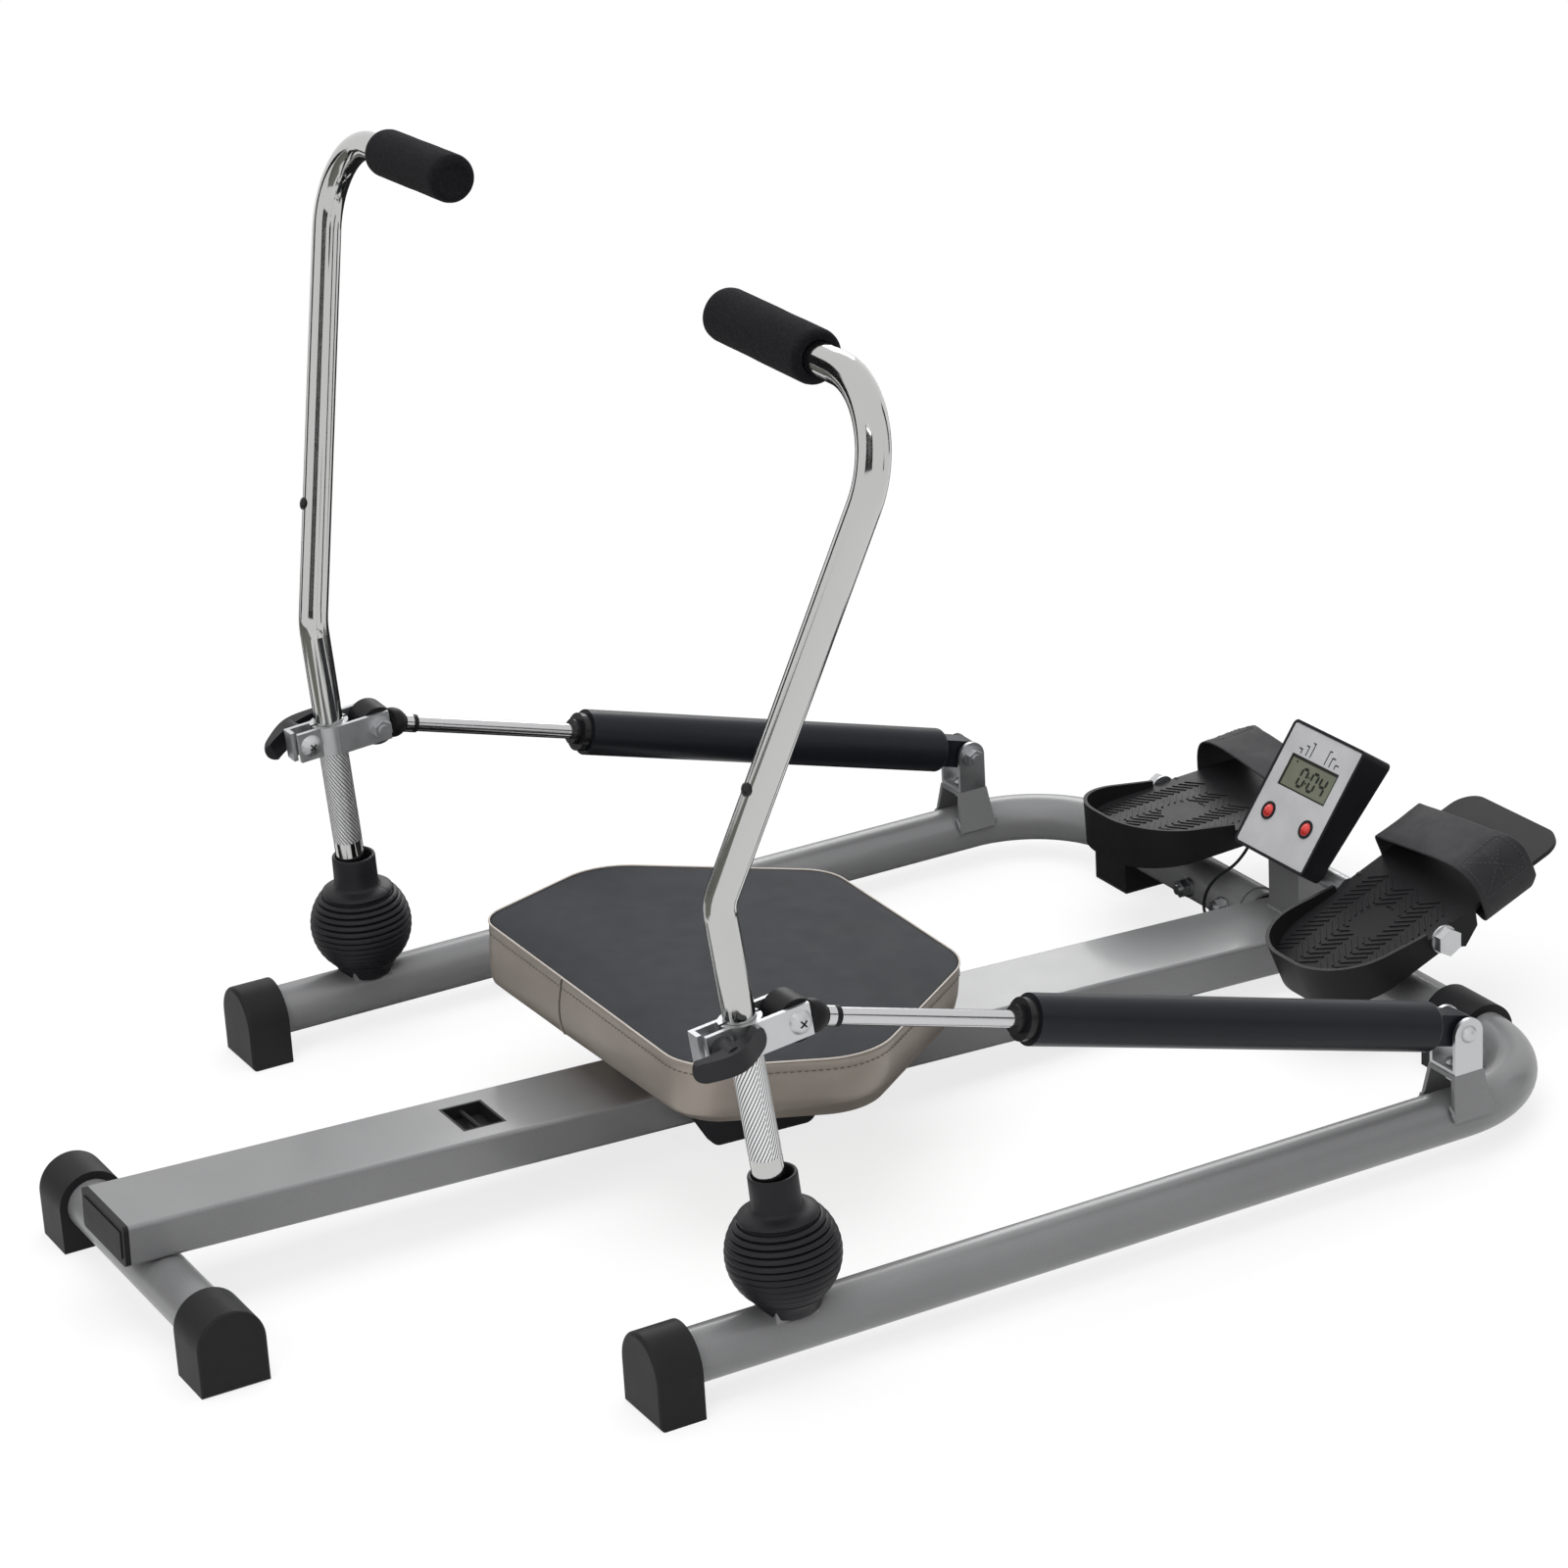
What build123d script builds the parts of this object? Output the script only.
from build123d import *
import math
import os

# Hydraulic rowing machine. Millimetres, +Z up, +Y towards the pedals,
# +X to the rower's right. The floor is at Z zero and the rear faces of the
# rear feet are at Y zero until the last step moves the origin to the middle.

# General fits
running_fit = 0.05
loose_fit = 0.3
overrun = 400.0
sheet_thickness = 3.0

# Side rails: one bent tube a side, joined at the front crossbar
rail_spacing = 670.0
rail_dia = 38.0
rail_wall = 1.5
rail_height = 33.0
rail_rear = 236.0
crossbar_y = 985.0
rail_bend_radius = 90.0
rail_inner_gap = 96.0
stub_length = 112.0
stub_wall = 2.0
rail_bolt_inset = 20.0
rail_bolt_pitch = 50.0

# Feet
rail_foot_width = 54.0
rail_foot_length = 33.0
cross_foot_width = 50.0
cross_foot_length = 43.0
front_foot_length = 45.0
front_foot_inner = 200.0
foot_end_wall = 4.0
foot_edge_radius = 3.0

# Middle beam: rectangular tube, sloping down to the front
beam_width = 78.0
beam_depth = 30.0
beam_wall = 2.0
beam_corner = 3.0
beam_rear_top = 83.0
beam_slope = 2.09
beam_length = 1010.0
plug_thickness = 4.0
plug_border = 5.0
plug_raise = 1.0
plug_tongue = 14.0
slot_width = 43.0
slot_length = 33.5
slot_rear = 259.5
insert_depth = 12.0
insert_floor = 2.0
insert_pin_dia = 4.0

# Rear cross tube
cross_tube_y = 25.0
cross_tube_span = 297.4

# Rail bolts
bolt_dia = 8.0
nut_across = 13.0
nut_height = 6.5
washer_dia = 17.0
washer_thickness = 1.6

# Console post
post_width = 40.0
post_depth = 26.0
post_y = 990.0

# Console
console_width = 92.0
console_length = 107.6
console_face_y = 961.6
console_face_z = 98.7
console_lean = 34.8
console_depth_low = 19.0
console_depth_high = 30.0
console_wall = 2.5
console_corner = 5.0
face_inset = 2.5
face_thickness = 1.5
face_recess = 0.5
window_width = 61.0
window_length = 27.0
window_low = 55.5
window_border = 2.0
window_thickness = 1.2
board_margin = 5.0
board_thickness = 1.6
board_gap = 6.0
button_dia = 10.5
button_ring_dia = 15.0
button_ring_raise = 0.8
button_spacing = 49.4
button_height_on_face = 33.6
button_raise = 2.6
button_travel = 1.0
button_stem_dia = 5.0
console_boss_dia = 7.0
console_screw_dia = 2.6
console_screw_head_dia = 5.5
console_screw_head = 1.8
console_screw_inset = 9.0
console_screw_low = 24.0
post_screw_height = 20.0
post_screw_spacing = 16.0

# Pedal axle
axle_y = 990.0
axle_z = 89.5
axle_dia = 10.0
axle_half_length = 191.5
axle_bolt_across = 19.0
axle_bolt_head = 8.0
axle_washer_dia = 22.0
sleeve_dia = 16.0

# Pedals, measured from the axle along the sole
pedal_middle = 127.0
pedal_half_width = 59.5
pedal_heel_radius = 50.0
pedal_heel_back = 98.0
pedal_toe_front = 126.0
pedal_toe_radius = 20.0
pedal_floor_top = 6.6
pedal_floor_thickness = 3.6
pedal_wall = 3.0
pedal_rim_at_axle = 9.3
pedal_rim_slope = 10.6
pedal_skirt_low = -9.0
pedal_hub_radius = 10.0
pedal_bump_front = 31.0
pedal_bump_low = -19.0
pedal_bump_width = 12.0
pedal_disc_radius = 18.0
pedal_disc_back = 20.0
pedal_notch_half = 11.0
pedal_tilt_right = 22.0
pedal_tilt_left = 3.0
tread_height = 0.8
tread_width = 1.6
tread_pitch = 6.0
tread_reach = 17.0
tread_angle = 35.0
tread_spread = 1.15

# Foot straps
strap_back = 37.4
strap_width = 46.0
strap_thickness = 1.8
strap_crest = 35.4
strap_seat_gap = 0.4
strap_line_shares = [
    (-1.0, 0.635),
    (-0.81, 0.723),
    (-0.405, 0.842),
    (0.0, 0.927),
    (0.405, 0.989),
    (0.68, 1.0),
    (0.875, 0.944),
    (1.005, 0.79),
    (1.062, 0.51),
    (1.062, 0.14),
    (1.03, -0.113),
    (1.0, -0.268),
    (0.9, -0.2),
]
strap_return_share = 0.65

# Arm joints
arm_joint_y = 342.7
arm_joint_z = 88.0
arm_splay = 1.7
spider_core = 13.0
spider_pin_dia = 8.0
joint_ear_inner = 10.5
joint_ear_thickness = 3.5
joint_ear_radius = 7.5
joint_base_width = 30.0
joint_base_length = 32.0
joint_base_top = 55.0
fork_cap_low = 20.0
fork_cap_top = 25.0

# Arms
arm_dia = 22.0
arm_wall = 1.5
arm_bend_height = 253.2
arm_bend_radius = 34.0
arm_top_out = 123.7
arm_top_forward = 123.2
arm_top_height = 582.8
arm_top_radius = 56.0
arm_grip_rise_share = 0.05
arm_lean_right = 6.2
arm_lean_left = 4.2
arm_plug_along = 88.6
arm_plug_dia = 7.0
arm_plug_raise = 1.2

# Foam grips
grip_start = 101.0
grip_length = 118.7
grip_dia = 36.0
grip_end_cover = 8.0
grip_edge = 4.0
grip_disc_dia = 20.0
grip_disc_sink = 0.8

# Bellows boots
boot_radius = 39.5
boot_wall = 1.4
boot_ribs = 13
boot_rib_depth = 2.2
boot_neck_dia = 34.0
boot_neck_inner = 28.0
boot_neck_top = 58.0
boot_neck_bottom = 33.0
boot_low = 30.0
boot_skirt_radius = 24.5
boot_lag = 2.5

# Clamps on the arms
clamp_height_on_arm = 161.0
clamp_strip = 3.5
clamp_depth = 23.0
clamp_halves_gap = 3.0
clamp_tab_inner = 6.0
clamp_ear_inner = 12.2
clamp_rear = 30.0
clamp_front = 43.0
clamp_bolt_back = 20.5
clamp_flange_reach = 3.0
eye_forward = 34.8
dome_dia = 17.0
dome_height = 4.5

# T-knobs
knob_hub_dia = 17.0
knob_hub_length = 20.0
knob_wing_half = 28.0
knob_wing_thickness = 11.0
knob_wing_height = 15.0
knob_wing_sweep = 10.0
knob_turn_right = 11.0
knob_turn_left = 20.0

# Hydraulic cylinders
front_pivot_y = 890.0
front_pivot_z = 100.0
eye_dia = 30.0
eye_play = 7.2
eye_ball_dia = 23.0
eye_ball_forward = 17.0
collar_dia = 14.0
collar_start = 27.0
collar_length = 6.0
rod_ring_length = 4.0
rod_dia = 12.0
rod_reach = 306.0
piston_length = 20.0
piston_gap = 0.1
barrel_dia = 36.0
barrel_wall = 2.0
barrel_start = 186.0
barrel_end_gap = 24.0
barrel_end_wall = 8.0
barrel_edge = 4.0
gland_length = 12.0
gland_step_dia = 30.0
gland_nose_dia = 20.0
gland_nose_length = 5.0
gland_spigot = 10.0
lug_width = 18.0
lug_dia = 23.0
lug_play = 1.9

# Front brackets and clevises
bracket_top = 70.4
bracket_top_width = 30.0
bracket_leg_low = 37.0
bracket_top_length = 26.0
bracket_low_length = 34.0
bracket_low_width = 42.5
clevis_gap = 24.0
clevis_length = 24.0
clevis_sheet = 3.0
clevis_bolt_head = 4.5

# Seat carriage and rollers
seat_y = 500.0
seat_top = 143.0
cushion_depth = 48.0
cushion_crown = 2.0
cushion_edge = 4.0
cushion_draw = 3.0
cushion_half_width = 211.0
cushion_rear_half = 160.0
cushion_front_half = 104.0
cushion_rear = 364.5
cushion_wide = 485.0
cushion_front = 631.0
cushion_rear_corner = 30.0
cushion_wide_corner = 55.0
cushion_front_corner = 40.0
board_inset = 14.0
seat_board_thickness = 10.0
carriage_middle = 480.0
carriage_top_length = 114.0
carriage_low_length = 80.0
carriage_drop = 42.0
carriage_corner = 9.0
carriage_cheek_inner = 50.0
carriage_cheek = 8.0
carriage_deck = 3.5
roller_dia = 25.4
roller_gap = 0.3
roller_half_length = 30.0
roller_axle_dia = 8.0
roller_offset = 36.0
under_roller_dia = 12.0

# Sensor cable
cable_dia = 2.5
cable_run_share = 0.45
grommet_dia = 7.0
grommet_flange = 1.0
cable_points = [
    (-39.0, 970.63, 92.42),
    (-39.0, 962.64, 80.93),
    (-53.0, 951.0, 68.0),
    (-61.0, 943.0, 51.0),
    (-57.5, 941.0, 33.5),
    (-40.0, 941.0, 33.5),
]

CENTRED_LOW = (Align.CENTER, Align.CENTER, Align.MIN)
rail_x = rail_spacing / 2
rail_radius = rail_dia / 2
bolt_radius = bolt_dia / 2


def block(x0, x1, y0, y1, z0, z1):
    """A box between two corners."""
    solid = Box(abs(x1 - x0), abs(y1 - y0), abs(z1 - z0))
    return Pos((x0 + x1) / 2, (y0 + y1) / 2, (z0 + z1) / 2) * solid


def bar(start, end, radius):
    """A round bar between two points."""
    line = Vector(*end) - Vector(*start)
    plane = Plane(origin=start, z_dir=line)
    return plane.location * Cylinder(radius, line.length, align=CENTRED_LOW)


def pipe(start, end, outer, inner):
    """A round tube between two points."""
    return bar(start, end, outer) - bar(start, end, inner)


def nut(start, end, across, bore=0):
    """A hexagonal nut or bolt head between two points."""
    line = Vector(*end) - Vector(*start)
    plane = Plane(origin=start, z_dir=line)
    outline = RegularPolygon(across / 2, 6, major_radius=False)
    if bore:
        outline -= Circle(bore)
    return plane.location * extrude(outline, line.length)


def dome(start, end, radius):
    """A domed bolt head: flat at the start and rounded at the end."""
    line = Vector(*end) - Vector(*start)
    height = line.length
    ball = (radius * radius + height * height) / (2 * height)
    plane = Plane(origin=start, z_dir=line)
    cap = Pos(0, 0, height - ball) * Sphere(ball)
    cap &= Cylinder(radius, height, align=CENTRED_LOW)
    return plane.location * cap


def mirrored(shape):
    """The same piece on the left."""
    return mirror(shape, about=Plane.YZ)


def group(*shapes):
    """Separate solids that share one node."""
    solids = []
    for shape in shapes:
        solids.extend(shape.solids())
    return Compound(solids)


def side_outline(points, x0, x1):
    """An outline in Y and Z, drawn through from x0 to x1."""
    plane = Plane(origin=(x0, 0, 0), x_dir=(0, 1, 0), z_dir=(1, 0, 0))
    face = Polygon(*points, align=None)
    return plane.location * extrude(face, x1 - x0, dir=(0, 0, 1))


parts = {}
moved_frames = {}

# Side rails: straight rail, a quarter bend and half of the crossbar
rail_path = FilletPolyline(
    (rail_x, rail_rear, rail_height),
    (rail_x, crossbar_y, rail_height),
    (rail_inner_gap / 2, crossbar_y, rail_height),
    radius=rail_bend_radius,
)
rail_section = Plane(origin=rail_path @ 0, z_dir=rail_path % 0)
rail_face = rail_section * (Circle(rail_radius) - Circle(rail_radius - rail_wall))
rail = sweep(rail_face, path=rail_path)
rail_bolts_x = [rail_inner_gap / 2 + rail_bolt_inset, rail_inner_gap / 2 + rail_bolt_inset + rail_bolt_pitch]
for x in rail_bolts_x:
    start = (x, crossbar_y - rail_dia, rail_height)
    end = (x, crossbar_y + rail_dia, rail_height)
    rail -= bar(start, end, bolt_radius + running_fit)

# Rail end feet: a flat-bottomed moulding pushed over the tube
def foot_solid(width, length):
    """Foot outline: flat below, round above, drawn along Y from zero."""
    half = width / 2
    foot = block(-half, half, 0, length, 0, rail_height)
    foot += bar((0, 0, rail_height), (0, length, rail_height), half)
    return foot


def rounded(foot):
    """Softened edges all round the closed end of a foot."""
    rear = foot.faces().sort_by(Axis.Y)[0]
    return fillet(rear.edges(), foot_edge_radius)


def capped_foot(width, length):
    """A foot with its closed end at the rear and a socket for the tube."""
    foot = rounded(foot_solid(width, length))
    socket_start = (0, foot_end_wall, rail_height)
    return foot - bar(socket_start, (0, length, rail_height), rail_radius)


rail_foot = Pos(rail_x, rail_rear - foot_end_wall, 0) * capped_foot(rail_foot_width, rail_foot_length)
parts["rail_feet"] = group(rail_foot, mirrored(rail_foot))

# Rear cross tube with its two feet
cross_half = cross_tube_span / 2 - foot_end_wall
cross_tube = pipe(
    (-cross_half, cross_tube_y, rail_height),
    (cross_half, cross_tube_y, rail_height),
    rail_radius,
    rail_radius - rail_wall,
)
turned_foot = Rot(Z=90) * capped_foot(cross_foot_width, cross_foot_length)
cross_foot = Pos(cross_tube_span / 2, cross_tube_y, 0) * turned_foot
parts["rear_feet"] = group(cross_foot, mirrored(cross_foot))

# Front feet: collars round the crossbar
front_foot = foot_solid(cross_foot_width, front_foot_length)
front_foot -= bar((0, 0, rail_height), (0, front_foot_length, rail_height), rail_radius)
front_foot = Pos(front_foot_inner + front_foot_length, crossbar_y, 0) * (Rot(Z=90) * front_foot)
parts["front_feet"] = group(front_foot, mirrored(front_foot))

# Middle beam, drawn level with its top at zero, then laid on its slope
beam_frame = Pos(0, 0, beam_rear_top) * Rot(X=-beam_slope)
beam_half = beam_width / 2
beam_end = beam_length
beam = block(-beam_half, beam_half, 0, beam_end, -beam_depth, 0)
beam = fillet(beam.edges().filter_by(Axis.Y), beam_corner)
beam -= block(
    beam_wall - beam_half,
    beam_half - beam_wall,
    -overrun,
    beam_end + overrun,
    beam_wall - beam_depth,
    -beam_wall,
)
slot_half = slot_width / 2
slot_front = slot_rear + slot_length
beam -= block(-slot_half, slot_half, slot_rear, slot_front, -beam_wall, 0)
beam = beam_frame * beam


def beam_top_at(y):
    """Height of the beam's top face at a place along the part."""
    return beam_rear_top - y * math.tan(math.radians(beam_slope))


stub_outer = rail_radius - rail_wall - running_fit
stub_end = beam_half + stub_length
stub = pipe(
    (beam_half - beam_wall, crossbar_y, rail_height),
    (stub_end, crossbar_y, rail_height),
    stub_outer,
    stub_outer - stub_wall,
)
for x in rail_bolts_x:
    start = (x, crossbar_y - rail_dia, rail_height)
    end = (x, crossbar_y + rail_dia, rail_height)
    stub -= bar(start, end, bolt_radius + running_fit)
beam += stub
beam += mirrored(stub)
parts["rear_cross_tube"] = cross_tube - beam

# Beam end plugs: a raised face inside a thin border, and a tongue in the tube
tongue_x = beam_half - beam_wall - running_fit
tongue_low = beam_wall - beam_depth + running_fit
tongue_high = -beam_wall - running_fit


def end_plug(outer_y, seat_y0, tongue_y):
    """One plug from its outer face through its flange to its tongue."""
    outward = (outer_y - seat_y0) / abs(outer_y - seat_y0)
    plug = block(-beam_half, beam_half, outer_y, seat_y0, -beam_depth, 0)
    plug = fillet(plug.edges().filter_by(Axis.Y), beam_corner)
    raised_y = outer_y + outward * plug_raise
    edge = plug_border
    plug += block(edge - beam_half, beam_half - edge, raised_y, outer_y, edge - beam_depth, -edge)
    plug += block(-tongue_x, tongue_x, seat_y0, tongue_y, tongue_low, tongue_high)
    return plug


rear_plug = end_plug(-plug_thickness, 0, plug_tongue)
front_plug = end_plug(beam_end + plug_thickness, beam_end, beam_end - plug_tongue)
parts["beam_plugs"] = group(beam_frame * rear_plug, beam_frame * front_plug)

# Sensor insert in the beam's slot: an open box with a steel pin across it
insert_x = slot_half - running_fit
insert_rear = slot_rear + running_fit
insert_front = slot_front - running_fit
insert = block(-insert_x, insert_x, insert_rear, insert_front, -insert_depth, 0)
insert -= block(
    insert_floor - insert_x,
    insert_x - insert_floor,
    insert_rear + insert_floor,
    insert_front - insert_floor,
    insert_floor - insert_depth,
    0,
)
insert_middle = (slot_rear + slot_front) / 2
pin_z = (insert_floor - insert_depth) / 2
pin_x = insert_x - insert_floor
insert_pin = bar((-pin_x, insert_middle, pin_z), (pin_x, insert_middle, pin_z), insert_pin_dia / 2)
parts["sensor_insert"] = group(beam_frame * insert, beam_frame * insert_pin)

# Console frame: X across, Y up the face, Z out of the face
console_frame = Pos(0, console_face_y, console_face_z) * Rot(X=90 - console_lean)
console_half = console_width / 2


def console_block(margin, front):
    """The console's outer form, shrunk by a margin and cut at its front."""
    back_low = margin - console_depth_low
    back_high = margin - console_depth_high
    outline = [
        (margin, front),
        (console_length - margin, front),
        (console_length - margin, back_high),
        (margin, back_low),
    ]
    return side_outline(outline, margin - console_half, console_half - margin)


housing = console_block(0, 0)
housing = fillet(housing.edges().filter_by(Axis.Z), console_corner)
housing -= console_block(console_wall, overrun)
face_floor = -face_thickness - face_recess
face_half = console_half - face_inset
face_low = face_inset
face_high = console_length - face_inset
face_corner = console_corner - face_inset
face_seat = block(-face_half, face_half, face_low, face_high, face_floor, overrun)
housing -= fillet(face_seat.edges().filter_by(Axis.Z), face_corner)
boss_x = console_half - console_screw_inset
boss_places = []
for x in (-boss_x, boss_x):
    for y in (console_screw_low, console_length - console_screw_inset):
        boss_places.append((x, y))


def back_depth(y):
    """Depth of the console's back face at a place up the face."""
    return console_depth_low + (console_depth_high - console_depth_low) * y / console_length


board_back = face_floor - board_gap - board_thickness
for x, y in boss_places:
    low = (x, y, console_wall - back_depth(y) - console_wall / 2)
    housing += bar(low, (x, y, board_back), console_boss_dia / 2)
for x, y in boss_places:
    low = (x, y, -back_depth(y) - console_wall)
    housing -= bar(low, (x, y, board_back), console_screw_dia / 2)

# Face plate with a window opening and two button collars
face = block(-face_half, face_half, face_low, face_high, face_floor, -face_recess)
face = fillet(face.edges().filter_by(Axis.Z), face_corner)
window_half = window_width / 2
window_high = window_low + window_length
face -= block(-window_half, window_half, window_low, window_high, face_floor, 0)
collars = []
buttons = []
for side in (-1, 1):
    x = side * button_spacing / 2
    low = (x, button_height_on_face, face_floor)
    high = (x, button_height_on_face, button_ring_raise - face_recess)
    face -= bar(low, (x, button_height_on_face, 0), button_ring_dia / 2)
    collars.append(pipe(low, high, button_ring_dia / 2, button_dia / 2 + running_fit))
    base = face_floor - board_gap + button_travel + loose_fit
    stem = bar((x, button_height_on_face, base), (x, button_height_on_face, 0), button_stem_dia / 2)
    cap_low = (x, button_height_on_face, face_floor)
    cap = dome(cap_low, (x, button_height_on_face, button_raise), button_dia / 2)
    cap_skirt = bar(cap_low, (x, button_height_on_face, 0), button_dia / 2)
    buttons.append(console_frame * (stem + cap + cap_skirt))
parts["console_face"] = console_frame * face
parts["left_button"] = buttons[0]
parts["right_button"] = buttons[1]
moved_frames["button_normal"] = console_frame

window_z = face_floor - window_thickness
window_x = window_half + window_border
window = block(
    -window_x,
    window_x,
    window_low - window_border,
    window_high + window_border,
    window_z,
    face_floor,
)
window += block(-window_half, window_half, window_low, window_high, face_floor, -face_recess - loose_fit)
parts["display_window"] = console_frame * window
board_x = console_half - board_margin
board_front = board_back + board_thickness
board_high = console_length - board_margin
board = block(-board_x, board_x, board_margin, board_high, board_back, board_front)
for x, y in boss_places:
    board -= bar((x, y, board_back), (x, y, board_front), console_screw_dia / 2)
parts["console_board"] = console_frame * board

# Console post: box tube welded on the beam, cut to the console's back
post_half_x = post_width / 2
post_half_y = post_depth / 2
post_low = beam_top_at(post_y + post_half_y) - beam_wall
post_high = console_face_z + console_depth_high
post = block(-post_half_x, post_half_x, post_y - post_half_y, post_y + post_half_y, post_low, post_high)
above = side_outline(
    [
        (-overrun, overrun),
        (console_length + overrun, overrun),
        (console_length + overrun, -back_depth(console_length + overrun)),
        (-overrun, -back_depth(-overrun)),
    ],
    -overrun,
    overrun,
)
post -= console_frame * above
lid = post & (console_frame * (Pos(0, 0, -sheet_thickness) * above))
inner = block(
    beam_wall - post_half_x,
    post_half_x - beam_wall,
    post_y - post_half_y + beam_wall,
    post_y + post_half_y - beam_wall,
    post_low,
    post_high,
)
post -= inner
post += lid
axle_cut = bar((-overrun, axle_y, axle_z), (overrun, axle_y, axle_z), axle_dia / 2 + running_fit)
post -= axle_cut
post -= beam_frame * block(-beam_half, beam_half, 0, beam_end, -beam_depth, 0)
post_screws = []
for side in (-1, 1):
    x = side * post_screw_spacing / 2
    y = post_screw_height
    top = console_wall - back_depth(y)
    low = (x, y, -back_depth(y) - sheet_thickness)
    head_low = (x, y, top)
    head_high = (x, y, top + console_screw_head)
    shank = bar(low, head_low, console_screw_dia / 2)
    head = bar(head_low, head_high, console_screw_head_dia / 2)
    post_screws.append(console_frame * (shank + head))
    cut = console_frame * bar(low, head_low, console_screw_dia / 2)
    post -= cut
    housing -= shank + head
parts["console_post"] = post

# Case screws from behind
case_screws = []
for x, y in boss_places:
    depth = back_depth(y)
    shank_low = (x, y, -depth)
    shank_high = (x, y, board_back + board_thickness)
    shank = bar(shank_low, shank_high, console_screw_dia / 2)
    head = bar((x, y, -depth - console_screw_head), shank_low, console_screw_head_dia / 2)
    housing -= shank + head
    case_screws.append(console_frame * (shank + head))

# Grommets where the sensor cable leaves the console and enters the beam
cable_out = Vector(*cable_points[0])
cable_in = Vector(*cable_points[-1])
down_face = (console_frame * Location((0, -1, 0))).position - console_frame.position
console_hole = bar(
    tuple(cable_out - down_face * console_wall * 2),
    tuple(cable_out),
    grommet_dia / 2 - grommet_flange,
)
button_rings = [console_frame * ring for ring in collars]
parts["console_housing"] = group((console_frame * housing) - console_hole, *button_rings)
console_grommet = pipe(
    tuple(cable_out - down_face * console_wall),
    tuple(cable_out),
    grommet_dia / 2 - grommet_flange,
    cable_dia / 2,
)
beam_hole = bar(
    (-beam_half, cable_in.Y, cable_in.Z),
    (beam_wall - beam_half, cable_in.Y, cable_in.Z),
    grommet_dia / 2 - grommet_flange,
)
beam -= beam_hole
beam_grommet = bar(
    (-beam_half - grommet_flange, cable_in.Y, cable_in.Z),
    (-beam_half, cable_in.Y, cable_in.Z),
    grommet_dia / 2,
)
beam_grommet += beam_hole
beam_grommet -= bar(
    (-beam_half - grommet_flange, cable_in.Y, cable_in.Z),
    (beam_wall - beam_half, cable_in.Y, cable_in.Z),
    cable_dia / 2,
)
parts["cable_grommets"] = group(console_grommet, beam_grommet)
parts["main_beam"] = beam
parts["console_screws"] = group(*post_screws, *case_screws)

# Sensor cable: straight runs joined by arcs as large as the runs allow
cable_radii = []
for before, at, after in zip(cable_points, cable_points[1:], cable_points[2:]):
    run_in = Vector(*at) - Vector(*before)
    run_out = Vector(*after) - Vector(*at)
    turn = math.radians(run_in.get_angle(run_out))
    shorter = min(run_in.length, run_out.length)
    cable_radii.append(cable_run_share * shorter / math.tan(turn / 2))
cable_path = FilletPolyline(*cable_points, radius=cable_radii)
cable_face = Plane(origin=cable_path @ 0, z_dir=cable_path % 0) * Circle(cable_dia / 2)
cable = sweep(cable_face, path=cable_path)
print("cable radii", [round(r, 1) for r in cable_radii])
print("cable volume", cable.volume, cable_path.length * math.pi * (cable_dia / 2) ** 2)
parts["sensor_cable"] = cable

# Pedal axle, its sleeves, washers and end bolts
pedal_inner = pedal_middle - pedal_half_width
pedal_outer = pedal_middle + pedal_half_width
axle = bar((-axle_half_length, axle_y, axle_z), (axle_half_length, axle_y, axle_z), axle_dia / 2)
parts["pedal_axle"] = axle
axle_bore = axle_dia / 2 + running_fit
sleeve = pipe(
    (post_half_x, axle_y, axle_z),
    (pedal_inner - loose_fit, axle_y, axle_z),
    sleeve_dia / 2,
    axle_bore,
)
axle_washer = pipe(
    (pedal_outer + loose_fit, axle_y, axle_z),
    (pedal_outer + loose_fit + washer_thickness, axle_y, axle_z),
    axle_washer_dia / 2,
    axle_bore,
)
head_start = pedal_outer + loose_fit + washer_thickness
axle_head = nut(
    (head_start, axle_y, axle_z),
    (head_start + axle_bolt_head, axle_y, axle_z),
    axle_bolt_across,
)
axle_head -= bar((0, axle_y, axle_z), (axle_half_length, axle_y, axle_z), axle_dia / 2)
axle_fittings = [sleeve, axle_washer, axle_head]
axle_fittings += [mirrored(piece) for piece in axle_fittings]
parts["axle_fittings"] = group(*axle_fittings)


# Pedals in their own frame: axle at the origin, Y along the sole
def pedal_plan(inset):
    """Outline of a pedal from its round heel to its toe, drawn in by an inset."""
    wide = pedal_half_width - inset
    heel = pedal_heel_radius - inset
    corner = pedal_toe_radius - inset
    back = inset - pedal_heel_back
    front = pedal_toe_front - inset
    outline = Polygon((-wide, back), (wide, back), (wide, front), (-wide, front), align=None)
    corners = outline.vertices().sort_by(Axis.Y)
    outline = fillet(corners[:2], heel)
    corners = outline.vertices().sort_by(Axis.Y)
    return fillet(corners[-2:], corner)


def tread_lines():
    """Herringbone ribs moulded on the pedal's floor."""
    ribs = []
    first = pedal_wall + tread_reach - pedal_heel_back
    last = strap_back - tread_reach / 2
    count = int((last - first) / tread_pitch)
    reach = tread_reach * math.cos(math.radians(tread_angle))
    for row in range(count):
        for column in range(-3, 3):
            side = 1 if column % 2 else -1
            x = (column + 1 / 2) * reach * tread_spread
            rib = Box(tread_reach, tread_width, tread_height, align=CENTRED_LOW)
            place = Pos(x, first + row * tread_pitch, pedal_floor_top)
            ribs.append(place * (Rot(Z=side * tread_angle) * rib))
    return ribs


plate_low = pedal_floor_top - pedal_floor_thickness


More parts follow.
